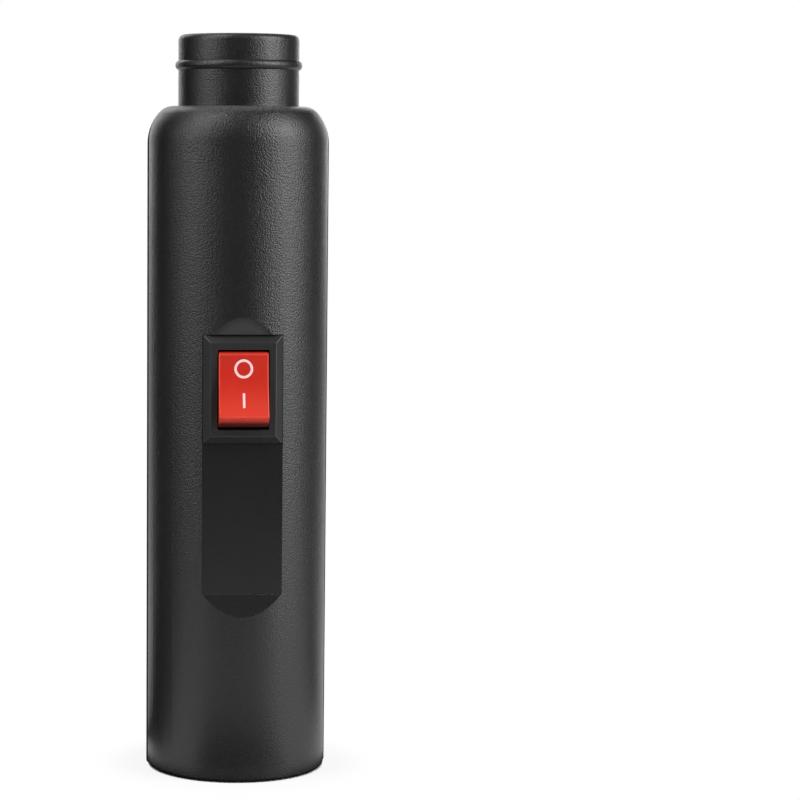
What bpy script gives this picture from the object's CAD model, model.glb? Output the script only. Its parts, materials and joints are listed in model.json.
import json
import math

import bmesh
import bpy
from mathutils import Matrix, Quaternion, Vector


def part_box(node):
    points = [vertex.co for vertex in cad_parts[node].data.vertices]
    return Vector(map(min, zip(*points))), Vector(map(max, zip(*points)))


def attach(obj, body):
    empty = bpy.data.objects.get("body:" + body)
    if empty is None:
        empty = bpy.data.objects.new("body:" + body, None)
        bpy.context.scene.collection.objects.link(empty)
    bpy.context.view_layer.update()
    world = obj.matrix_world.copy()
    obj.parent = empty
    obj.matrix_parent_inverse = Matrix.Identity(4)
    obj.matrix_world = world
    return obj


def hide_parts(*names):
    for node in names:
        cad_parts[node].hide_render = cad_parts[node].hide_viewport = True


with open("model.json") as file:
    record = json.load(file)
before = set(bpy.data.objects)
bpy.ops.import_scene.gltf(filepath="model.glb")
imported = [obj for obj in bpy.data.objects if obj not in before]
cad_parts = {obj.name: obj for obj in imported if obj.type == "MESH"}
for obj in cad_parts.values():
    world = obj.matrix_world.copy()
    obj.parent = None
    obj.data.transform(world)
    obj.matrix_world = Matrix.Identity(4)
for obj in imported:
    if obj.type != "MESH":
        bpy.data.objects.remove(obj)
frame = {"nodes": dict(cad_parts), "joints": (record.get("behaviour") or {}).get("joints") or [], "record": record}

nodes = frame["nodes"]
scene = bpy.context.scene
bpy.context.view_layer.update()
mm = 0.001


# Camera: a long lens on a stand, just below the top of the lamp's shoulder and looking slightly down at its
# middle. The back of the camera is shifted, so that the lamp is seen nearly square on but stands in the left
# part of the picture.
lens_length = 118.8
sensor_width = 36
camera_shift = 0.2037
camera_place = Vector((-0.03613, -0.52378, 0.12589))
camera_aim = Vector((0, 0, 0.07368))
camera_roll = math.radians(0.311)
nearest_view = 0.01

camera_data = bpy.data.cameras.new("camera")
camera_data.lens = lens_length
camera_data.sensor_width = sensor_width
camera_data.shift_x = camera_shift
camera_data.clip_start = nearest_view
camera = bpy.data.objects.new("camera", camera_data)
camera.location = camera_place
camera.rotation_mode = "QUATERNION"
level_turn = (camera_aim - camera_place).to_track_quat("-Z", "Y")
camera.rotation_quaternion = level_turn @ Quaternion((0, 0, 1), camera_roll)
scene.collection.objects.link(camera)
scene.camera = camera


# Floor and light: a wide sheet of white board in a white room, with two soft boxes at the left of the camera,
# one at the right and two behind the lamp. Black curtains, canopies and floor cloths round the lamp keep its
# middle and flanks dark, as in a catalogue picture.
floor_radius = 6
floor_sides = 96
floor_drop = 0.05 * mm
floor_white = (0.86, 0.86, 0.86, 1)
floor_glow = 0.86
shadow_reach = (0.018, 0.03)
lamp_foot = 0.0176
room_light = 0.2
lights_aim = Vector((0, 0, 0.08))
cloth_black = (0.01, 0.01, 0.01, 1)
sheet_steps = 24
sheet_lift = 0.5 * mm
foot_lift = 0.1 * mm


def put(tree, kind, inputs=None, **settings):
    """Adds one node to a tree, with its settings, and its inputs as values or as links."""
    node = tree.nodes.new(kind)
    for key, value in settings.items():
        setattr(node, key, value)
    for key, value in (inputs or {}).items():
        if isinstance(value, bpy.types.NodeSocket):
            tree.links.new(value, node.inputs[key])
        else:
            node.inputs[key].default_value = value
    return node


def math_node(tree, operation, first, second=0.0):
    """The outcome of a sum on two values or sockets."""
    return put(tree, "ShaderNodeMath", {0: first, 1: second}, operation=operation).outputs[0]


def vector_node(tree, operation, first, second=(0, 0, 0)):
    """The outcome of a sum on two places: a value where it gives one, or else a place."""
    outputs = put(tree, "ShaderNodeVectorMath", {0: first, 1: second}, operation=operation).outputs
    return outputs["Value" if operation in ("LENGTH", "DOT_PRODUCT") else "Vector"]


def object_place(tree):
    """Where a spot of an object lies."""
    return put(tree, "ShaderNodeTexCoord").outputs["Object"]


def new_material(name):
    """An empty node material and its output node."""
    material = bpy.data.materials.new(name)
    material.use_nodes = True
    material.node_tree.nodes.clear()
    return material, material.node_tree, put(material.node_tree, "ShaderNodeOutputMaterial")


def seen_directly(tree):
    """1 for rays that show the surroundings: straight, in a mirror or through glass."""
    path = put(tree, "ShaderNodeLightPath").outputs
    mirrored = math_node(tree, "MAXIMUM", path["Is Camera Ray"], path["Is Glossy Ray"])
    return math_node(tree, "MAXIMUM", mirrored, path["Is Transmission Ray"])


floor_material, tree, output = new_material("floor_board")
board = put(tree, "ShaderNodeBsdfDiffuse", {"Color": floor_white})
glow = put(tree, "ShaderNodeEmission", {"Color": (1, 1, 1, 1), "Strength": 1.0})
away = vector_node(tree, "LENGTH", object_place(tree))
bare = put(tree, "ShaderNodeMapRange", {
    "Value": away, "From Min": shadow_reach[0], "From Max": shadow_reach[1],
    "To Min": floor_glow, "To Max": 1.0}, interpolation_type="SMOOTHSTEP").outputs["Result"]
uncovered = math_node(tree, "MULTIPLY", bare, math_node(tree, "GREATER_THAN", away, lamp_foot))
share = math_node(tree, "MULTIPLY", seen_directly(tree), uncovered)
mixed = put(tree, "ShaderNodeMixShader", {0: share, 1: board.outputs[0], 2: glow.outputs[0]})
tree.links.new(mixed.outputs[0], output.inputs["Surface"])

floor_mesh = bpy.data.meshes.new("floor")
shape = bmesh.new()
bmesh.ops.create_circle(shape, cap_ends=True, segments=floor_sides, radius=floor_radius)
shape.to_mesh(floor_mesh)
shape.free()
floor_mesh.materials.append(floor_material)
floor = bpy.data.objects.new("floor", floor_mesh)
floor.location.z = -floor_drop
scene.collection.objects.link(floor)

world = bpy.data.worlds.new("white_room")
world.use_nodes = True
tree = world.node_tree
tree.nodes.clear()
strength = put(tree, "ShaderNodeMapRange", {
    "Value": seen_directly(tree), "To Min": room_light, "To Max": 1.0}).outputs["Result"]
room = put(tree, "ShaderNodeBackground", {"Color": (1, 1, 1, 1), "Strength": strength})
put(tree, "ShaderNodeOutputWorld", {"Surface": room.outputs[0]})
scene.world = world
scene.view_settings.view_transform = "Standard"


def soft_box(name, turn, away, height, wide, tall, watts):
    """A soft box at a turn from the lamp's front, to its right, that faces the lamp."""
    data = bpy.data.lights.new(name, "AREA")
    data.shape = "RECTANGLE"
    data.size = wide
    data.size_y = tall
    data.energy = watts
    light = bpy.data.objects.new(name, data)
    angle = math.radians(turn)
    light.location = (away * math.sin(angle), -away * math.cos(angle), height)
    light.rotation_mode = "QUATERNION"
    light.rotation_quaternion = (lights_aim - light.location).to_track_quat("-Z", "Y")
    light.visible_camera = False
    scene.collection.objects.link(light)


soft_box("soft_box_left", turn=-63, away=1.0, height=0.7, wide=0.62, tall=1.4, watts=7.4)
soft_box("soft_box_high_left", turn=-60, away=0.5, height=1.1, wide=0.5, tall=0.4, watts=2.4)
soft_box("soft_box_right", turn=61, away=1.0, height=0.56, wide=0.66, tall=1.1, watts=15.5)
soft_box("soft_box_rear_left", turn=-156, away=1.0, height=0.45, wide=0.4, tall=0.8, watts=1.6)
soft_box("soft_box_rear_right", turn=160, away=1.0, height=0.45, wide=0.4, tall=0.8, watts=1.7)

black_cloth, tree, output = new_material("black_cloth")
felt = put(tree, "ShaderNodeBsdfDiffuse", {"Color": cloth_black})
tree.links.new(felt.outputs[0], output.inputs["Surface"])


def black_sheet(name, start, end, near, far):
    """A black sheet round the lamp from one turn to another, between two lines that are given as a distance
    from the lamp and a height. The lamp mirrors it, and the camera looks through it."""
    rows = []
    for step in range(sheet_steps + 1):
        angle = math.radians(start + (end - start) * step / sheet_steps)
        rows += [(away * math.sin(angle), -away * math.cos(angle), height) for away, height in (near, far)]
    faces = [(2 * step, 2 * step + 2, 2 * step + 3, 2 * step + 1) for step in range(sheet_steps)]
    mesh = bpy.data.meshes.new(name)
    mesh.from_pydata(rows, [], faces)
    mesh.materials.append(black_cloth)
    sheet = bpy.data.objects.new(name, mesh)
    sheet.visible_camera = False
    scene.collection.objects.link(sheet)
    return sheet


black_sheet("curtain_front", -40, 40, (0.8, sheet_lift), (0.8, 0.9))
black_sheet("curtain_left", -86, -149, (0.45, sheet_lift), (0.45, 0.7))
black_sheet("curtain_right", 86, 138, (0.45, sheet_lift), (0.45, 0.7))
black_sheet("curtain_high_right", 92, 162, (0.6, 0.3), (0.25, 1.0))
black_sheet("canopy_front", -38, 38, (0.8, 0.9), (0.05, 1.2))
black_sheet("canopy_right", 38, 110, (0.5, 0.86), (0.05, 1.2))
black_sheet("canopy_rear", 140, 220, (0.05, 1.2), (0.5, 1.2))
# For each cloth: the turns that it lies between, its near and far edge from the lamp's middle, and its lift.
floor_cloths = {
    "cloth_near": (-40, 40, 0.023, 0.052, sheet_lift),
    "cloth_front": (-45, 45, 0.18, 0.8, sheet_lift),
    "cloth_front_left": (-84, -45, 0.15, 0.8, sheet_lift),
    "cloth_right": (98, 120, 0.06, 0.45, sheet_lift),
    "cloth_left": (-84, -138, 0.03, 0.45, sheet_lift),
    "cloth_foot": (-180, 180, 0.0174, 0.0222, foot_lift),
}
for name, (start, end, near, far, lift) in floor_cloths.items():
    cloth = black_sheet(name, start, end, (near, lift), (far, lift))
    cloth.visible_shadow = False
    cloth.visible_diffuse = False


# Body: two half tubes of black plastic, moulded with a fine pebbled grain and a smooth front panel, closed on
# a lipped seam by four screws from behind. Their edges are rounded a little, as the mould leaves them.
shell_black = (0.0115, 0.0115, 0.012, 1)
pit_black = (0.0095, 0.0095, 0.01, 1)
shell_roughness = 0.38
shell_change = 0.08
shell_gloss = 0.5
grain_size = 0.32 * mm
grain_depth = 0.066 * mm
sway_scale = 900
sway_reach = 0.16 * mm
dome_top = 0.8
crumb_finer = 1.7
crumb_share = 0.45
pit_heights = (0.45, 1.0)
change_scale = 70
worn_z = (20 * mm, 80 * mm)
worn_grain = 0.5
neck_foot = 132.3 * mm
mounts = {mount["name"]: mount for mount in frame["record"]["mounts"]}
neck_radius = mounts["neck_spigot"]["dims"]["r_mm"] * mm
neck_grain = 0.85
dusty_z = (130.5 * mm, 131.8 * mm)
dusty_heights = (0.1, 0.8)
dust_grey = (0.11, 0.11, 0.108, 1)
body_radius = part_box("front_shell")[1].x
panel_y = 15.92 * mm
panel_z = (37 * mm, 90 * mm)
panel_slack = 0.03 * mm
panel_roughness = 0.33
panel_grain = 0.12
ramp_z = (32 * mm, 37.2 * mm)
ramp_slack = (0.1 * mm, 0.04 * mm)
ramp_grain = 0.4
crescent_z = (84.6 * mm, 92 * mm)
crescent_fade = (0.03 * mm, 0.5 * mm)
crescent_roughness = 0.62
crescent_grey = (0.028, 0.028, 0.0285, 1)
rim_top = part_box("front_shell")[1].z
rim_round = 0.8 * mm
soft_rim_round = 1.2 * mm
rim_slack = 0.01
round_slack = 0.02
edge_round = 0.12 * mm
edge_angle = 24
edge_steps = 2
join_reach = 0.002 * mm
crease_angle = math.radians(4)
flat_angle = math.radians(0.2)


def new_group(name, inputs, outputs):
    """A shader node group with its named sockets: returns the tree, its input sockets and its output node."""
    group = bpy.data.node_groups.new(name, "ShaderNodeTree")
    for label, kind, value in inputs:
        group.interface.new_socket(name=label, in_out="INPUT", socket_type=kind).default_value = value
    for label, kind in outputs:
        group.interface.new_socket(name=label, in_out="OUTPUT", socket_type=kind)
    return group, put(group, "NodeGroupInput").outputs, put(group, "NodeGroupOutput")


def noise(tree, place, scale, detail):
    """The outputs of a noise texture."""
    return put(tree, "ShaderNodeTexNoise", {"Vector": place, "Scale": scale, "Detail": detail}).outputs


NUMBER = "NodeSocketFloat"

# The mould's pebbled grain: how high it stands, and where its pits lie.
moulded_grain, given, result = new_group(
    "moulded_grain", [("Size", NUMBER, 0.0005)], [("Height", NUMBER), ("Pits", NUMBER)]
)
place = object_place(moulded_grain)
spread = math_node(moulded_grain, "DIVIDE", 1.0, given["Size"])
bent = noise(moulded_grain, place, sway_scale, 1.0)["Color"]
swayed = vector_node(moulded_grain, "MULTIPLY", bent, (sway_reach, sway_reach, sway_reach))
pebbles = put(moulded_grain, "ShaderNodeTexVoronoi", {
    "Vector": vector_node(moulded_grain, "ADD", place, swayed), "Scale": spread, "Smoothness": 0.5,
    "Randomness": 0.85}, feature="SMOOTH_F1")
crumbs = noise(moulded_grain, place, math_node(moulded_grain, "MULTIPLY", spread, crumb_finer), 2.0)["Fac"]
domes = math_node(moulded_grain, "SUBTRACT", dome_top, pebbles.outputs["Distance"])
rough_domes = put(moulded_grain, "ShaderNodeMath", {0: crumbs, 1: crumb_share, 2: domes},
                  operation="MULTIPLY_ADD").outputs[0]
moulded_grain.links.new(rough_domes, result.inputs["Height"])
pits = put(moulded_grain, "ShaderNodeMapRange", {
    "Value": rough_domes, "From Min": pit_heights[0], "From Max": pit_heights[1],
    "To Min": 1.0, "To Max": 0.0})
moulded_grain.links.new(pits.outputs["Result"], result.inputs["Pits"])

# A gloss that handling has changed a little in broad patches.
handled, given, result = new_group(
    "handled", [("Roughness", NUMBER, 0.4), ("Change", NUMBER, 0.05)], [("Roughness", NUMBER)]
)
broad = noise(handled, object_place(handled), change_scale, 3.0)["Fac"]
swing = math_node(handled, "SUBTRACT", broad, 0.5)
worn = put(handled, "ShaderNodeMath", {0: swing, 1: given["Change"], 2: given["Roughness"]},
           operation="MULTIPLY_ADD")
handled.links.new(worn.outputs[0], result.inputs["Roughness"])


def use_group(tree, group, **inputs):
    """A group's node in a tree, with its inputs by name, and its output sockets."""
    values = {key.replace("_", " ").title(): value for key, value in inputs.items()}
    return put(tree, "ShaderNodeGroup", values, node_tree=group).outputs


def either(tree, mask, value, other):
    """One value outside a mask and another inside it."""
    return put(tree, "ShaderNodeMapRange", {
        "Value": mask, "To Min": value, "To Max": other}).outputs["Result"]


def blend(tree, mask, colour, other):
    """One colour outside a mask and another inside it."""
    return put(tree, "ShaderNodeMix", {0: mask, 6: colour, 7: other}, data_type="RGBA").outputs[2]


def relief(tree, height, depth, strength=1.0):
    """The normal of a surface with a fine relief."""
    return put(tree, "ShaderNodeBump", {
        "Height": height, "Distance": depth, "Strength": strength}).outputs[0]


def surface(tree, output, inputs):
    """Gives a material its surface."""
    skin = put(tree, "ShaderNodeBsdfPrincipled", inputs)
    tree.links.new(skin.outputs[0], output.inputs["Surface"])


def between(tree, value, low, high):
    """1 where a value lies between two limits."""
    above = math_node(tree, "GREATER_THAN", value, low)
    return math_node(tree, "MULTIPLY", above, math_node(tree, "LESS_THAN", value, high))


def rising(tree, value, low, high):
    """0 below one limit and 1 above the other, with a smooth rise between them."""
    return put(tree, "ShaderNodeMapRange", {"Value": value, "From Min": low, "From Max": high},
               interpolation_type="SMOOTHSTEP").outputs["Result"]


shell_plastic, tree, output = new_material("grained_black")
place = object_place(tree)
axes = put(tree, "ShaderNodeSeparateXYZ", {0: place}).outputs
on_plane = between(tree, axes["Y"], -panel_y - panel_slack, -panel_y + panel_slack)
flat_panel = math_node(tree, "MULTIPLY", on_plane, between(tree, axes["Z"], *panel_z))
radius = vector_node(tree, "LENGTH", vector_node(tree, "MULTIPLY", place, (1, 1, 0)))
in_front = math_node(tree, "LESS_THAN", axes["Y"], ramp_slack[0] - panel_y)
sunk = math_node(tree, "MULTIPLY", in_front, between(tree, radius, panel_y, body_radius - ramp_slack[1]))
deep = math_node(tree, "SUBTRACT", body_radius, radius)
faded = math_node(tree, "MULTIPLY", sunk, rising(tree, deep, *crescent_fade))
crescent = math_node(tree, "MULTIPLY", faded, between(tree, axes["Z"], *crescent_z))
lower_ramp = math_node(tree, "MULTIPLY", sunk, between(tree, axes["Z"], *ramp_z))
grain = use_group(tree, moulded_grain, size=grain_size)
held = either(tree, rising(tree, axes["Z"], *worn_z), worn_grain, 1.0)
on_neck = math_node(tree, "GREATER_THAN", axes["Z"], neck_foot)
full_depth = either(tree, on_neck, held, neck_grain)
smooth_panel = math_node(tree, "MAXIMUM", flat_panel, crescent)
depth = either(tree, smooth_panel, either(tree, lower_ramp, full_depth, ramp_grain), panel_grain)
height = math_node(tree, "MULTIPLY", grain["Height"], depth)
sunk_flat = math_node(tree, "MAXIMUM", flat_panel, lower_ramp)
plain_dull = either(tree, sunk_flat, shell_roughness, panel_roughness)
dull = use_group(tree, handled, roughness=either(tree, crescent, plain_dull, crescent_roughness),
                 change=shell_change)
below_neck = math_node(tree, "SUBTRACT", 1.0, on_neck)
at_foot = math_node(tree, "MULTIPLY", below_neck, rising(tree, axes["Z"], *dusty_z))
outside = math_node(tree, "GREATER_THAN", radius, neck_radius)
specks = math_node(tree, "MULTIPLY", outside, rising(tree, grain["Height"], *dusty_heights))
dust = math_node(tree, "MULTIPLY", at_foot, specks)
shade = blend(tree, crescent, blend(tree, grain["Pits"], shell_black, pit_black), crescent_grey)
surface(tree, output, {
    "Base Color": blend(tree, dust, shade, dust_grey), "Roughness": dull["Roughness"],
    "Specular IOR Level": shell_gloss, "Normal": relief(tree, height, grain_depth)})


def show(piece_mesh, name, body, *stands_for, slot):
    """Puts a finished mesh in the scene as a piece that rides on a body and stands for CAD nodes."""
    piece = bpy.data.objects.new(name, piece_mesh)
    scene.collection.objects.link(piece)
    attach(piece, body)
    if stands_for:
        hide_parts(*stands_for)
    return piece


def crease_edges(skin, source):
    """Marks the edges of a joined skin where two CAD faces meet at an angle, by the faces' own normals."""
    label = skin.faces.layers.int.new("cad_face")
    normals = {}
    waiting = set(skin.faces)
    count = 0
    while waiting:
        count += 1
        front = [waiting.pop()]
        spots = normals.setdefault(count, [])
        while front:
            face = front.pop()
            face[label] = count
            corners = source.polygons[face.index].loop_indices
            for vert, corner in zip(face.verts, corners):
                spots.append((vert.co.copy(), source.corner_normals[corner].vector.copy()))
            near = {other for edge in face.edges for other in edge.link_faces} & waiting
            waiting -= near
            front += near
    bmesh.ops.remove_doubles(skin, verts=skin.verts, dist=join_reach)
    for edge in skin.edges:
        sides = {face[label] for face in edge.link_faces}
        edge.smooth = True
        if len(sides) != 2:
            continue
        for vert in edge.verts:
            first, second = (min(normals[side], key=lambda spot: (spot[0] - vert.co).length_squared)[1]
                             for side in sides)
            if first.angle(second, 0) > crease_angle:
                edge.smooth = False


def rounded(node, name, body, material, width, angle, steps, slot, reshape=None):
    """A CAD node's solid, joined into one skin, with its edges rounded, in place of the node."""
    skin = bmesh.new()
    skin.from_mesh(nodes[node].data)
    crease_edges(skin, nodes[node].data)
    for vert in skin.verts if reshape else ():
        vert.co = reshape(vert.co)
    bmesh.ops.dissolve_limit(skin, angle_limit=flat_angle, verts=skin.verts, edges=skin.edges,
                             delimit={"SHARP"})
    for face in skin.faces:
        face.smooth = True
    mesh = bpy.data.meshes.new(name)
    skin.to_mesh(mesh)
    skin.free()
    if "custom_normal" in mesh.attributes:
        mesh.attributes.remove(mesh.attributes["custom_normal"])
    mesh.materials.clear()
    mesh.materials.append(material)
    piece = show(mesh, name, body, node, slot=slot)
    bevel = piece.modifiers.new("edges", "BEVEL")
    bevel.width = width
    bevel.segments = steps
    bevel.limit_method = "ANGLE"
    bevel.angle_limit = math.radians(angle)
    bevel.harden_normals = True
    bevel.use_clamp_overlap = True
    return piece


def softer_rim(spot):
    """Widens the round on the outer edge of the neck's rim. Any other spot stays where it is."""
    away = math.hypot(spot.x, spot.y)
    out = (away - neck_radius) / rim_round + 1
    up = (spot.z - rim_top) / rim_round + 1
    if min(out, up) < -rim_slack or abs(math.hypot(out, up) - 1) > round_slack:
        return spot
    share = (neck_radius + soft_rim_round * (out - 1)) / away
    return Vector((spot.x * share, spot.y * share, rim_top + soft_rim_round * (up - 1)))


for node, name in (("front_shell", "front_half"), ("rear_shell", "rear_half")):
    rounded(node, name, "lamp_body", shell_plastic, edge_round, edge_angle, edge_steps, "shell_plastic",
            softer_rim)


# Battery door: a curved plate of the same grained plastic in the rear half, with finger ridges, which slides
# down off the base on a tongue at each side.
rounded("battery_door", "sliding_door", "rear_door", shell_plastic, edge_round, edge_angle, edge_steps,
        "shell_plastic")


# Shell screws: four plated steel screws with pan heads and cross recesses, driven from behind into the bosses
# of the front half, at the bottom of their wells.
screw_across = 10.25 * mm
screw_heights = (63.25 * mm, 102.915 * mm)
screw_seat = 4 * mm
screw_radius = 1.3 * mm
screw_length = 12 * mm
head_radius = 2.5 * mm
head_height = 1.8 * mm
# Shares of a screw's radius
tip_radius = 0.45
thread_start = 0.5
thread_left_out = 0.9
thread_pitch = 0.42
thread_root = 0.8
plain_neck = 0.2
# Shares of its head's radius or height
head_chamfer = 0.12
crown_radius = (0.6, 0.4)
crown_height = (0.4, 0.58)
recess_foot = (0.26, 0.045, 0.45)
recess_top = (0.58, 0.15, 1.65)
crown_steps = 6
screw_steps = 42
turned_join = 0.001 * mm
turned_sharp = math.radians(35)
steel_grey = (0.56, 0.57, 0.59, 1)
streak_spread = (400, 9000, 9000)
scratch_depth = 0.0008 * mm

# The fine streaks of drawn or plated metal.
brushed, given, result = new_group(
    "brushed", [("Roughness", NUMBER, 0.3), ("Streak", NUMBER, 0.1)],
    [("Roughness", NUMBER), ("Height", NUMBER)]
)
drawn = vector_node(brushed, "MULTIPLY", object_place(brushed), streak_spread)
streaks = noise(brushed, drawn, 1.0, 3.0)["Fac"]
swing = math_node(brushed, "SUBTRACT", streaks, 0.5)
streaked = put(brushed, "ShaderNodeMath", {0: swing, 1: given["Streak"], 2: given["Roughness"]},
               operation="MULTIPLY_ADD")
brushed.links.new(streaked.outputs[0], result.inputs["Roughness"])
brushed.links.new(streaks, result.inputs["Height"])


def metal(name, colour, roughness, streak):
    """A drawn or plated metal with fine streaks."""
    material, tree, output = new_material(name)
    lines = use_group(tree, brushed, roughness=roughness, streak=streak)
    surface(tree, output, {
        "Base Color": colour, "Metallic": 1.0, "Roughness": lines["Roughness"],
        "Normal": relief(tree, lines["Height"], scratch_depth)})
    return material


steel = metal("plated_steel", steel_grey, roughness=0.3, streak=0.16)


def carved(mesh, cutter):
    """A mesh with another mesh cut out of it."""
    whole = bpy.data.objects.new("whole", mesh)
    tool = bpy.data.objects.new("tool", cutter)
    scene.collection.objects.link(whole)
    scene.collection.objects.link(tool)
    cut = whole.modifiers.new("cut", "BOOLEAN")
    cut.operation = "DIFFERENCE"
    cut.solver = "EXACT"
    cut.object = tool
    left = bpy.data.meshes.new_from_object(whole.evaluated_get(bpy.context.evaluated_depsgraph_get()))
    bpy.data.objects.remove(whole)
    bpy.data.objects.remove(tool)
    return left


def turned(name, profile, steps):
    """A solid of revolution about Z from (radius, height) points that begin and end on the axis."""
    skin = bmesh.new()
    ring = [skin.verts.new((radius, 0, height)) for radius, height in profile]
    line = [skin.edges.new(pair) for pair in zip(ring, ring[1:])]
    bmesh.ops.spin(skin, geom=ring + line, axis=(0, 0, 1), cent=(0, 0, 0), angle=2 * math.pi, steps=steps)
    bmesh.ops.remove_doubles(skin, verts=skin.verts, dist=turned_join)
    bmesh.ops.recalc_face_normals(skin, faces=skin.faces)
    mesh = bpy.data.meshes.new(name)
    skin.to_mesh(mesh)
    skin.free()
    mesh.shade_smooth()
    mesh.set_sharp_from_angle(angle=turned_sharp)
    return mesh


def cross_screw(name, radius, length, head_r, head_h):
    """A screw along Z, its head's underside at zero, with a thread in plain rings and a cross recess."""
    pitch = thread_pitch * radius
    root = thread_root * radius
    chamfer = head_chamfer * head_h
    profile = [(0, -length), (tip_radius * radius, -length)]
    turns = int((length - thread_left_out * radius) / pitch)
    for step in range(turns):
        start = -length + thread_start * radius + step * pitch
        profile += [(root, start), (radius, start + pitch / 2)]
    profile += [(root, -plain_neck * radius), (root, 0), (head_r - chamfer, 0), (head_r, chamfer)]
    for step in range(crown_steps + 1):
        angle = math.radians(90 * step / crown_steps)
        profile.append((head_r * (crown_radius[0] + crown_radius[1] * math.cos(angle)),
                        head_h * (crown_height[0] + crown_height[1] * math.sin(angle))))
    profile.append((0, head_h))
    cutter = bmesh.new()
    rings = []
    for reach, half, height in (recess_foot, recess_top):
        corners = ((reach, -half), (reach, half), (half, half))
        quarter = [Vector((x * head_r, y * head_r, height * head_h)) for x, y in corners]
        spins = [Matrix.Rotation(turn * math.pi / 2, 3, "Z") for turn in range(4)]
        rings.append([cutter.verts.new(spin @ spot) for spin in spins for spot in quarter])
    low, high = rings
    cutter.faces.new(low[::-1])
    cutter.faces.new(high)
    for index in range(len(low)):
        cutter.faces.new((low[index - 1], low[index], high[index], high[index - 1]))
    tool = bpy.data.meshes.new("cross_recess")
    cutter.to_mesh(tool)
    cutter.free()
    return carved(turned(name, profile, screw_steps), tool)


def new_nodes_tree(name, inputs):
    """A geometry node tree with named inputs: returns the tree, its input sockets and its output node."""
    tree = bpy.data.node_groups.new(name, "GeometryNodeTree")
    tree.interface.new_socket(name="Geometry", in_out="INPUT", socket_type="NodeSocketGeometry")
    for label, kind in inputs:
        tree.interface.new_socket(name=label, in_out="INPUT", socket_type=kind)
    tree.interface.new_socket(name="Geometry", in_out="OUTPUT", socket_type="NodeSocketGeometry")
    return tree, put(tree, "NodeGroupInput").outputs, put(tree, "NodeGroupOutput")


def grown(data, tree, values):
    """The plain mesh that a geometry node tree makes from an object's data."""
    seed = bpy.data.objects.new("seed", data)
    scene.collection.objects.link(seed)
    modifier = seed.modifiers.new("grow", "NODES")
    modifier.node_group = tree
    sockets = {item.name: item.identifier for item in tree.interface.items_tree if item.in_out == "INPUT"}
    for label, value in values.items():
        modifier[sockets[label]] = value
    seed.update_tag()
    mesh = bpy.data.meshes.new_from_object(seed.evaluated_get(bpy.context.evaluated_depsgraph_get()))
    bpy.data.objects.remove(seed)
    return mesh


# One fastener repeated in rows and columns.
fastener_rows, given, result = new_nodes_tree("fastener_rows", [
    ("Fastener", "NodeSocketObject"), ("Finish", "NodeSocketMaterial"), ("Across", NUMBER), ("Along", NUMBER),
    ("Columns", "NodeSocketInt"), ("Rows", "NodeSocketInt")])
spots = put(fastener_rows, "GeometryNodeMeshGrid", {
    "Size X": given["Across"], "Size Y": given["Along"],
    "Vertices X": given["Columns"], "Vertices Y": given["Rows"]})
one = put(fastener_rows, "GeometryNodeObjectInfo", {"Object": given["Fastener"]})
placed = put(fastener_rows, "GeometryNodeInstanceOnPoints",
             {"Points": spots.outputs["Mesh"], "Instance": one.outputs["Geometry"]})
real = put(fastener_rows, "GeometryNodeRealizeInstances", {"Geometry": placed.outputs["Instances"]})
finish = put(fastener_rows, "GeometryNodeSetMaterial",
             {"Geometry": real.outputs["Geometry"], "Material": given["Finish"]})
fastener_rows.links.new(finish.outputs["Geometry"], result.inputs["Geometry"])


def fasteners(name, screw, across, along, columns, rows, placement):
    """A screw repeated on a grid, then turned and moved to where it is driven."""
    sample = bpy.data.objects.new("sample", screw)
    scene.collection.objects.link(sample)
    mesh = grown(bpy.data.meshes.new(name), fastener_rows, {
        "Fastener": sample, "Finish": steel, "Across": across, "Along": along,
        "Columns": columns, "Rows": rows})
    bpy.data.objects.remove(sample)
    mesh.transform(placement)
    return mesh


shell_screw = cross_screw("shell_screw", screw_radius, screw_length, head_radius, head_height)
screws_middle = Vector((0, screw_seat, sum(screw_heights) / 2))
shell_screw_set = fasteners(
    "shell_screw_set", shell_screw, 2 * screw_across, screw_heights[1] - screw_heights[0], 2, 2,
    Matrix.Translation(screws_middle) @ Matrix.Rotation(math.radians(-90), 4, "X"))
show(shell_screw_set, "shell_screw_set", "lamp_body", "shell_screws", slot="steel")


# Battery tray: one satin black moulding in the lower body, with a curved trough for each cell and slots at
# its ends where the contact plates are pushed in.
tray_black = (0.02, 0.02, 0.022, 1)
satin_grain = 0.16 * mm
satin_change = 0.1


def satin(name, colour, roughness, gloss, depth):
    """A satin plastic with a very fine grain."""
    material, tree, output = new_material(name)
    grain = use_group(tree, moulded_grain, size=satin_grain)
    dull = use_group(tree, handled, roughness=roughness, change=satin_change)
    surface(tree, output, {
        "Base Color": colour, "Roughness": dull["Roughness"], "Specular IOR Level": gloss,
        "Normal": relief(tree, grain["Height"], depth)})
    return material


def finish_node(node, material):
    """Gives a CAD node that keeps showing its finished material."""
    nodes[node].data.materials.clear()
    nodes[node].data.materials.append(material)


tray_plastic = satin("tray_satin", tray_black, roughness=0.45, gloss=0.5, depth=0.003 * mm)
finish_node("battery_tray", tray_plastic)


# Cells: three AAA cells in plain printed sleeves, green with a pale band at the positive end, and bare metal
# ends. The rear cell stands on its positive end, so that the three are in series.
sleeve_green = (0.03, 0.16, 0.07, 1)
sleeve_pale = (0.7, 0.68, 0.58, 1)
cap_metal = (0.7, 0.69, 0.67, 1)
left_low, left_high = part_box("battery_cell_left")
rear_low, rear_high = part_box("battery_cell_rear")
cell_length = left_high.z - left_low.z
cell_band = (0.1, 0.16)
cell_sleeve = (0.04, 0.97)
sleeve_coat = 0.4
bay_floor = rear_low.z
bay_roof = left_high.z


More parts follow.
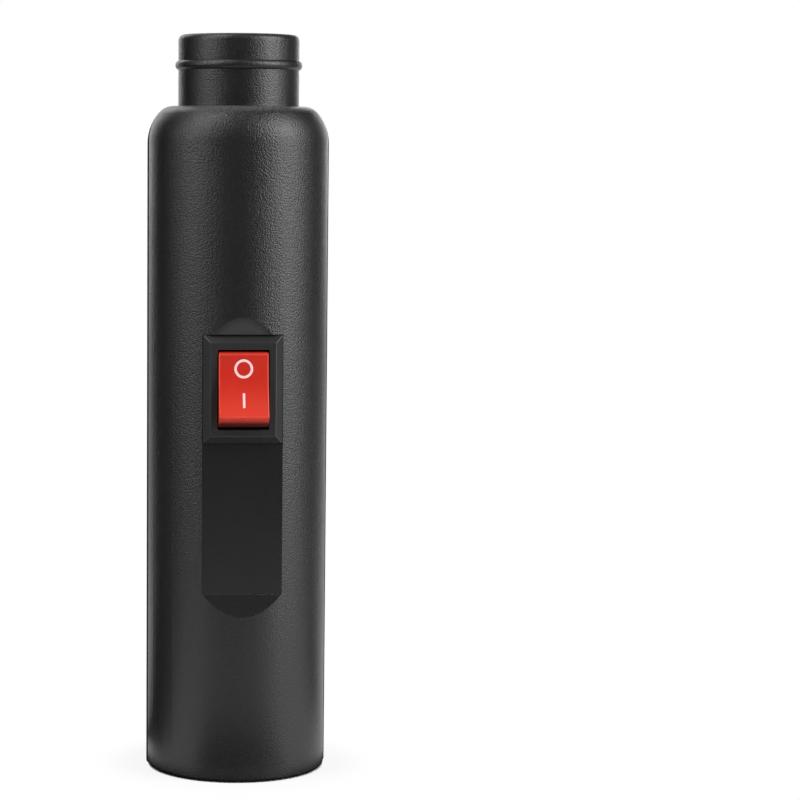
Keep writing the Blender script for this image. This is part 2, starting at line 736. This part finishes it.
def cell_material(name, positive_z, toward_negative):
    """A sleeve whose bands are set by how far along the cell they lie from its positive end."""
    material, tree, output = new_material(name)
    height = put(tree, "ShaderNodeSeparateXYZ", {0: object_place(tree)}).outputs["Z"]
    along = put(tree, "ShaderNodeMapRange", {
        "Value": height, "From Min": positive_z,
        "From Max": positive_z + toward_negative * cell_length}).outputs["Result"]
    sleeved = between(tree, along, *cell_sleeve)
    sleeve = blend(tree, between(tree, along, *cell_band), sleeve_green, sleeve_pale)
    lines = use_group(tree, brushed, roughness=0.3, streak=0.1)
    surface(tree, output, {
        "Base Color": blend(tree, sleeved, cap_metal, sleeve),
        "Metallic": math_node(tree, "SUBTRACT", 1.0, sleeved), "Roughness": lines["Roughness"],
        "Coat Weight": math_node(tree, "MULTIPLY", sleeved, sleeve_coat)})
    return material


upright_cell = cell_material("cell_upright", bay_roof, -1)
inverted_cell = cell_material("cell_inverted", bay_floor, 1)
finish_node("battery_cell_left", upright_cell)
finish_node("battery_cell_right", upright_cell)
finish_node("battery_cell_rear", inverted_cell)


# Contacts: stamped nickel-plated plates at the tray's ends, two with solder tails and two that bridge the
# cells, and three tapered springs of nickel-plated wire that press on the cells' flat ends.
nickel_grey = (0.66, 0.64, 0.6, 1)
spring_turns = 2.25
spring_wire = 0.3 * mm
spring_wide = 2.8 * mm
spring_tip = 1.6 * mm
spring_height = 3.6 * mm
cell_across = -(left_low.x + left_high.x) / 2
cell_y = (left_low.y + left_high.y) / 2
rear_cell_y = (rear_low.y + rear_high.y) / 2
spring_steps = 40
spring_sides = 14

nickel = metal("nickel_plate", nickel_grey, roughness=0.28, streak=0.14)
for node in ("contact_positive", "contact_negative", "contact_bridge_top", "contact_bridge_bottom"):
    finish_node(node, nickel)

# A round wire along a path.
swept_wire, given, result = new_nodes_tree(
    "swept_wire", [("Wire Radius", NUMBER), ("Sides", "NodeSocketInt"), ("Finish", "NodeSocketMaterial")])
section = put(swept_wire, "GeometryNodeCurvePrimitiveCircle",
              {"Resolution": given["Sides"], "Radius": given["Wire Radius"]}, mode="RADIUS")
swept = put(swept_wire, "GeometryNodeCurveToMesh",
            {"Curve": given["Geometry"], "Profile Curve": section.outputs["Curve"], "Fill Caps": True})
smooth = put(swept_wire, "GeometryNodeSetShadeSmooth", {"Geometry": swept.outputs["Mesh"]})
real = put(swept_wire, "GeometryNodeRealizeInstances", {"Geometry": smooth.outputs["Geometry"]})
finish = put(swept_wire, "GeometryNodeSetMaterial",
             {"Geometry": real.outputs["Geometry"], "Material": given["Finish"]})
swept_wire.links.new(finish.outputs["Geometry"], result.inputs["Geometry"])


def wire(name, points, radius, sides, material):
    """A round wire swept along a line of points."""
    path = bpy.data.curves.new(name, "CURVE")
    path.dimensions = "3D"
    line = path.splines.new("POLY")
    line.points.add(len(points) - 1)
    for spot, place in zip(line.points, points):
        spot.co = (*place, 1)
    return grown(path, swept_wire, {"Wire Radius": radius, "Sides": sides, "Finish": material})


def coil(turns, height, wide, tip, wire_r, steps):
    """The points of a coil that rises along Z from its wide end to its tip."""
    count = int(turns * steps)
    points = []
    for step in range(count + 1):
        share = step / count
        angle = 2 * math.pi * turns * share
        radius = wide + (tip - wide) * share
        points.append(Vector((radius * math.cos(angle), radius * math.sin(angle),
                              wire_r + (height - 2 * wire_r) * share)))
    return points


spring_coil = coil(spring_turns, spring_height, spring_wide, spring_tip, spring_wire, spring_steps)
spring_places = {
    "left": Matrix.Translation((-cell_across, cell_y, bay_floor)),
    "right": Matrix.Translation((cell_across, cell_y, bay_floor)),
    "rear": Matrix.Translation((0, rear_cell_y, bay_roof)) @ Matrix.Rotation(math.pi, 4, "X"),
}
for side, placement in spring_places.items():
    points = [placement @ point for point in spring_coil]
    spring = wire("cell_spring_" + side, points, spring_wire, spring_sides, nickel)
    show(spring, "cell_spring_" + side, "lamp_body", "contact_spring_" + side, slot="nickel")


# Switch: a snap-in rocker switch. Its satin black housing has a bevelled bezel that lies on the panel, and is
# pushed in from the front until its two side catches spread behind the wall.
switch_black = (0.02, 0.02, 0.0205, 1)
bezel_round = 0.14 * mm
bezel_angle = 25
bezel_steps = 3

switch_plastic = satin("switch_satin", switch_black, roughness=0.4, gloss=0.46, depth=0.004 * mm)
rounded("switch_housing", "switch_bezel", "lamp_body", switch_plastic, bezel_round, bezel_angle, bezel_steps,
        "switch_black")


# Rocker: a glossy red moulding with a dished finger face, turning on two pins in the housing. Its O and I are
# printed on the dish in white, O on the end that is pressed in while the lamp is off.
rocker_red = (0.55, 0.025, 0.013, 1)
rocker_deep_red = (0.5, 0.022, 0.0115, 1)
rubbed_red = (0.8, 0.075, 0.042, 1)
rocker_end = (0.08, 0.004, 0.003, 1)
flow_scale = 300
end_edge = (7.3 * mm, 7.48 * mm)
end_depth = (-3.9 * mm, -1.9 * mm)
side_rub_x = (4.45 * mm, 4.78 * mm)
end_rub_z = (5.8 * mm, 6.2 * mm)
rub_out = (2.9 * mm, 3.2 * mm)
pressed_down = (-2 * mm, 6 * mm)
pressed_share = 0.4
rocker_roughness = 0.3
end_roughness = 0.45
rocker_change = 0.12
rocker_gloss = 0.42
rocker_grain = 0.2 * mm
rocker_depth = 0.001 * mm
rocker_round = 0.32 * mm
rocker_angle = 30
rocker_steps = 4
joints = {joint["name"]: joint for joint in frame["joints"]}
pivot = Vector(joints["rocker_tilt"]["pos_m"])
rocker_turn = Matrix.Rotation(math.radians(-joints["rocker_tilt"]["range_deg"][1] / 2), 3, "X")
dish_radius = 22.1514 * mm
dish_out = 3.2458 * mm
mark_white = (0.92, 0.64, 0.66, 1)
mark_thin = (0.86, 0.54, 0.56, 1)
mark_scale = 2500
mark_roughness = 0.45
mark_rise = 0.015 * mm
ring_outer = 1.82 * mm
ring_inner = 1.34 * mm
ring_up = 3.36 * mm
ring_steps = 72
bar_width = 0.47 * mm
bar_length = 2.9 * mm
bar_up = -2.82 * mm
bar_steps = 12

red_plastic, tree, output = new_material("red_plastic")
place = object_place(tree)
tint = blend(tree, noise(tree, place, flow_scale, 2.0)["Fac"], rocker_red, rocker_deep_red)
from_pivot = vector_node(tree, "SUBTRACT", place, pivot)
radius = vector_node(tree, "LENGTH", vector_node(tree, "MULTIPLY", from_pivot, (0, 1, 1)))
out = vector_node(tree, "DOT_PRODUCT", from_pivot, rocker_turn @ Vector((0, -1, 0)))
along = vector_node(tree, "DOT_PRODUCT", from_pivot, rocker_turn @ Vector((0, 0, 1)))
across = put(tree, "ShaderNodeSeparateXYZ", {0: from_pivot}).outputs["X"]
end_face = rising(tree, radius, *end_edge)
inward = rising(tree, math_node(tree, "MULTIPLY", out, -1.0), *end_depth)
side_rub = rising(tree, math_node(tree, "ABSOLUTE", across), *side_rub_x)
end_rub = rising(tree, math_node(tree, "ABSOLUTE", along), *end_rub_z)
on_lip = math_node(tree, "SUBTRACT", rising(tree, out, *rub_out), end_face)
rubbed = math_node(tree, "MULTIPLY", math_node(tree, "MAXIMUM", side_rub, end_rub), on_lip)
lower = rising(tree, math_node(tree, "MULTIPLY", along, -1.0), *pressed_down)
pressed = math_node(tree, "MULTIPLY", lower, pressed_share)
tint = blend(tree, math_node(tree, "MAXIMUM", rubbed, pressed), tint, rubbed_red)
tint = blend(tree, math_node(tree, "MULTIPLY", end_face, inward), tint, rocker_end)
dull = use_group(tree, handled, roughness=either(tree, end_face, rocker_roughness, end_roughness),
                 change=rocker_change)
fine = use_group(tree, moulded_grain, size=rocker_grain)
surface(tree, output, {
    "Base Color": tint, "Roughness": dull["Roughness"], "Specular IOR Level": rocker_gloss,
    "Normal": relief(tree, fine["Height"], rocker_depth)})
rounded("rocker", "red_rocker", "switch_rocker", red_plastic, rocker_round, rocker_angle, rocker_steps,
        "rocker_red")

mark_ink, tree, output = new_material("mark_ink")
thin = noise(tree, object_place(tree), mark_scale, 2.0)["Fac"]
surface(tree, output, {
    "Base Color": blend(tree, thin, mark_white, mark_thin), "Roughness": mark_roughness})


def on_dish(across, up, rise):
    """A place on the rocker's dished face, a little above it, in the shared frame."""
    drop = dish_radius - math.sqrt(dish_radius ** 2 - up ** 2)
    face = Vector((across, -dish_out - drop, up))
    outward = Vector((0, -dish_radius - dish_out, 0)) - Vector((0, face.y, face.z))
    return pivot + rocker_turn @ (face + outward.normalized() * rise)


def printed(name, outline_pairs, closed):
    """A thin printed mark: pairs of (across, up) spots, joined into a strip or loop that follows the dish."""
    skin = bmesh.new()
    rows = []
    for pair in outline_pairs:
        corners = [(*spot, rise) for spot in pair for rise in (mark_rise, -mark_rise)]
        rows.append([skin.verts.new(on_dish(*corner)) for corner in corners])
    for row, later in zip(rows, rows[1:] + rows[:1] if closed else rows[1:]):
        for first, second in ((0, 2), (2, 3), (3, 1), (1, 0)):
            skin.faces.new((row[first], row[second], later[second], later[first]))
    if not closed:
        skin.faces.new((rows[0][0], rows[0][1], rows[0][3], rows[0][2]))
        skin.faces.new((rows[-1][0], rows[-1][2], rows[-1][3], rows[-1][1]))
    bmesh.ops.recalc_face_normals(skin, faces=skin.faces)
    mesh = bpy.data.meshes.new(name)
    skin.to_mesh(mesh)
    skin.free()
    mesh.materials.append(mark_ink)
    return mesh


ring_turns = [2 * math.pi * step / ring_steps for step in range(ring_steps)]
ring_pairs = [[(radius * math.cos(turn), ring_up + radius * math.sin(turn))
               for radius in (ring_inner, ring_outer)] for turn in ring_turns]
bar_pairs = [[(side * bar_width / 2, bar_up + bar_length * (step / bar_steps - 0.5)) for side in (-1, 1)]
             for step in range(bar_steps + 1)]
show(printed("mark_off", ring_pairs, True), "mark_off", "switch_rocker", slot="rocker_red")
show(printed("mark_on", bar_pairs, False), "mark_on", "switch_rocker", slot="rocker_red")


# Switch works: a brass plunger sprung in the rocker's stem, which tips a brass lever on the knife edge of the
# common terminal until its end meets the load terminal.
brass_gold = (0.72, 0.52, 0.2, 1)
plunger_turns = 4
plunger_wire = 0.18 * mm
plunger_radius = 0.97 * mm
plunger_span = (2 * mm, -2.2 * mm)
plunger_steps = 32
plunger_sides = 12

brass = metal("stamped_brass", brass_gold, roughness=0.3, streak=0.14)
for node in ("rocker_plunger", "contact_lever", "common_terminal", "load_terminal"):
    finish_node(node, brass)
plunger_coil = coil(plunger_turns, plunger_span[0] - plunger_span[1], plunger_radius, plunger_radius,
                    plunger_wire, plunger_steps)
plunger_place = (Matrix.Translation(pivot) @ rocker_turn.to_4x4()
                 @ Matrix.Translation((0, plunger_span[0], 0)) @ Matrix.Rotation(math.radians(90), 4, "X"))
plunger_wound = wire("plunger_wound_spring", [plunger_place @ point for point in plunger_coil],
                     plunger_wire, plunger_sides, steel)
show(plunger_wound, "plunger_wound_spring", "switch_rocker", "plunger_spring", slot="steel")


# Lamp holder: a satin black disc clamped between the halves below the neck, with a seat for the lens, a
# socket for the reflector and two posts that the light board is screwed to.
holder_black = (0.011, 0.011, 0.012, 1)

holder_plastic = satin("holder_satin", holder_black, roughness=0.42, gloss=0.5, depth=0.004 * mm)
finish_node("lamp_holder", holder_plastic)


# Reflector, lens and ring: a metallised plastic cup, a pressed clear lens on its rim, and a bright plated
# ring whose two folded lugs pass through the holder and keep the lens down.
cup_bright = (0.86, 0.87, 0.88, 1)
cup_roughness = 0.12
peel_scale = 1400
peel_depth = 0.004 * mm
lens_tint = (0.97, 0.985, 1.0, 1)
lens_ior = 1.49
lens_haze = (0.01, 0.05)
ripple_scale = 350
ripple_depth = 0.004 * mm
ripple_strength = 0.5
ring_grey = (0.82, 0.82, 0.81, 1)

reflector_bright, tree, output = new_material("metallised_cup")
peel = noise(tree, object_place(tree), peel_scale, 1.0)["Fac"]
surface(tree, output, {
    "Base Color": cup_bright, "Metallic": 1.0, "Roughness": cup_roughness,
    "Normal": relief(tree, peel, peel_depth)})
finish_node("reflector", reflector_bright)

lens_clear, tree, output = new_material("clear_lens")
ripple = noise(tree, object_place(tree), ripple_scale, 1.0)["Fac"]
surface(tree, output, {
    "Base Color": lens_tint, "Roughness": either(tree, ripple, *lens_haze), "IOR": lens_ior,
    "Transmission Weight": 1.0, "Normal": relief(tree, ripple, ripple_depth, ripple_strength)})
finish_node("lens", lens_clear)
ring_bright = metal("bright_plate", ring_grey, roughness=0.16, streak=0.08)
finish_node("lens_ring", ring_bright)


# Light board: a round white-masked board on the holder's posts, with one emitter, its phosphor yellow while
# unlit, two small screws from below and a resistor soldered under it.
board_screw_radius = 0.95 * mm
board_screw_length = 5.3 * mm
board_screw_across = 6.95 * mm
board_head_radius = 1.615 * mm
board_head_height = 1.235 * mm
board_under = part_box("led_board")[0].z
board_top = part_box("led_board")[1].z
mask_skin = 0.03 * mm
mask_white = (0.82, 0.83, 0.8, 1)
core_tan = (0.5, 0.45, 0.25, 1)
core_pale = (0.62, 0.56, 0.33, 1)
weave_scale = 1800
emitter_base = 0.8 * mm
emitter_white = (0.8, 0.79, 0.76, 1)
phosphor_yellow = (0.85, 0.62, 0.06, 1)
phosphor_deep = (0.75, 0.5, 0.04, 1)
phosphor_scale = 4000
emitter_roughness = 0.22
emitter_coat = 0.6
resistor_tan = (0.55, 0.42, 0.26, 1)
band_brown = (0.12, 0.05, 0.025, 1)
leg_grey = (0.7, 0.69, 0.67, 1)
leg_from = 3.3 * mm
band_spans = ((-2.2 * mm, -1.6 * mm), (-0.9 * mm, -0.3 * mm))

board_white, tree, output = new_material("white_board")
place = object_place(tree)
height = put(tree, "ShaderNodeSeparateXYZ", {0: place}).outputs["Z"]
masked = math_node(tree, "MAXIMUM", math_node(tree, "LESS_THAN", height, board_under + mask_skin),
                   math_node(tree, "GREATER_THAN", height, board_top - mask_skin))
core = blend(tree, noise(tree, place, weave_scale, 2.0)["Fac"], core_tan, core_pale)
dull = use_group(tree, handled, roughness=0.35, change=0.1)
surface(tree, output, {
    "Base Color": blend(tree, masked, core, mask_white), "Roughness": dull["Roughness"]})
finish_node("led_board", board_white)

emitter, tree, output = new_material("emitter_phosphor")
place = object_place(tree)
height = put(tree, "ShaderNodeSeparateXYZ", {0: place}).outputs["Z"]
domed = math_node(tree, "GREATER_THAN", height, board_top + emitter_base)
grains = noise(tree, place, phosphor_scale, 2.0)["Fac"]
phosphor = blend(tree, grains, phosphor_yellow, phosphor_deep)
surface(tree, output, {
    "Base Color": blend(tree, domed, emitter_white, phosphor), "Roughness": emitter_roughness,
    "Coat Weight": math_node(tree, "MULTIPLY", domed, emitter_coat)})
finish_node("led_emitter", emitter)

board_screw = cross_screw("board_screw", board_screw_radius, board_screw_length, board_head_radius,
                          board_head_height)
board_screw_set = fasteners(
    "board_screw_set", board_screw, 2 * board_screw_across, 0, 2, 1,
    Matrix.Translation((0, 0, board_under)) @ Matrix.Rotation(math.pi, 4, "X"))
show(board_screw_set, "board_screw_set", "lamp_body", "board_screws", slot="steel")

resistor, tree, output = new_material("resistor_lacquer")
across = put(tree, "ShaderNodeSeparateXYZ", {0: object_place(tree)}).outputs["X"]
leg = math_node(tree, "GREATER_THAN", math_node(tree, "ABSOLUTE", across), leg_from)
bands = [between(tree, across, *span) for span in band_spans]
banded = blend(tree, math_node(tree, "MAXIMUM", *bands), resistor_tan, band_brown)
dull = use_group(tree, handled, roughness=0.34, change=0.1)
surface(tree, output, {
    "Base Color": blend(tree, leg, banded, leg_grey), "Metallic": leg, "Roughness": dull["Roughness"]})
finish_node("series_resistor", resistor)


# Leads: three lengths of stranded wire in red or black insulation, soldered from the cell contacts to the
# switch, from the switch to the light board and back. They run up between the tray and the front half, over
# the tray, and behind the switch between the bosses.
insulation_red = (0.42, 0.02, 0.015, 1)
insulation_black = (0.015, 0.015, 0.016, 1)
lead_radius = 0.65 * mm
lead_sides = 14
lead_steps = 8
lead_bend = 2.2 * mm
lead_stub = 0.8 * mm
solder = 0.05 * mm
tail_inset = 1.2 * mm
housing_half = 9.5 * mm
cross_share = 0.3
run_x = 3.1 * mm
blade_x = -1.2 * mm
pad_y = 4.5 * mm
tail_low, tail_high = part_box("contact_positive")
common_low, common_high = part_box("common_terminal")
load_low, load_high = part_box("load_terminal")
tail_y = tail_low.y + tail_inset
feed_tail_z = tail_high.z + solder
return_tail_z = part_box("contact_negative")[1].z + solder
over_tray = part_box("battery_tray")[1].z + 2 * lead_radius
common_z = (common_low.z + common_high.z) / 2
load_z = (load_low.z + load_high.z) / 2
blade_y = common_high.y + solder
bend_y = common_high.y + lead_stub
run_y = bend_y + lead_bend
run_foot = common_z - housing_half
run_top = load_z + 3 * lead_bend
cross_x = run_x + cross_share * (cell_across - run_x)
cross_y = (tail_y + run_y) / 2
cross_z = (over_tray + run_foot) / 2


def insulation(name, colour):
    """Soft wire insulation whose gloss changes a little."""
    material, tree, output = new_material(name)
    dull = use_group(tree, handled, roughness=0.4, change=0.15)
    surface(tree, output, {"Base Color": colour, "Roughness": dull["Roughness"]})
    return material


def even(first, last, count):
    """Points at even steps from one place to the last."""
    return [Vector(first).lerp(Vector(last), step / count) for step in range(count + 1)]


def blade_bend(height, way, shares):
    """A lead's turn onto a switch blade, from above or below."""
    points = []
    for share in shares:
        angle = math.radians(90 * share)
        rise = way * lead_bend * (1 - math.sin(angle))
        points.append(Vector((blade_x, bend_y + lead_bend * math.cos(angle), height - rise)))
    return points


def eased(points, steps):
    """A smooth line through points."""
    line = []
    for index in range(len(points) - 1):
        a, b = points[max(index - 1, 0)], points[index]
        c, d = points[index + 1], points[min(index + 2, len(points) - 1)]
        for step in range(steps):
            t = step / steps
            line.append(0.5 * (2 * b + (c - a) * t + (2 * a - 5 * b + 4 * c - d) * t ** 2
                               + (3 * b - a - 3 * c + d) * t ** 3))
    return line + [points[-1]]


up_to_board = (even((-run_x, run_y, run_top), (-run_x, pad_y, board_under - 3 * lead_radius), 3)
               + [Vector((-run_x, pad_y, board_under - solder))])
feed_route = (even((-cell_across, tail_y, feed_tail_z), (-cell_across, tail_y, over_tray), 2)
              + [Vector((-cross_x, cross_y, cross_z)), Vector((-run_x, run_y, run_foot))]
              + blade_bend(common_z, 1, (0, 0.5, 1)) + [Vector((blade_x, blade_y, common_z))])
lamp_route = [Vector((blade_x, blade_y, load_z))] + blade_bend(load_z, -1, (1, 0.5, 0)) + up_to_board
return_route = (even((cell_across, tail_y, return_tail_z), (cell_across, tail_y, over_tray), 7)
                + [Vector((cross_x, cross_y, cross_z))]
                + even((run_x, run_y, run_foot), (run_x, run_y, load_z), 2)
                + [Vector((-point.x, point.y, point.z)) for point in up_to_board])
red_lead = insulation("red_insulation", insulation_red)
black_lead = insulation("black_insulation", insulation_black)
for name, route, material, slot in (
        ("feed", feed_route, red_lead, "lead_red"),
        ("lamp", lamp_route, red_lead, "lead_red"),
        ("return", return_route, black_lead, "lead_black")):
    lead = wire("wire_" + name, eased(route, lead_steps), lead_radius, lead_sides, material)
    show(lead, "wire_" + name, "lamp_body", "lead_" + name, slot=slot)
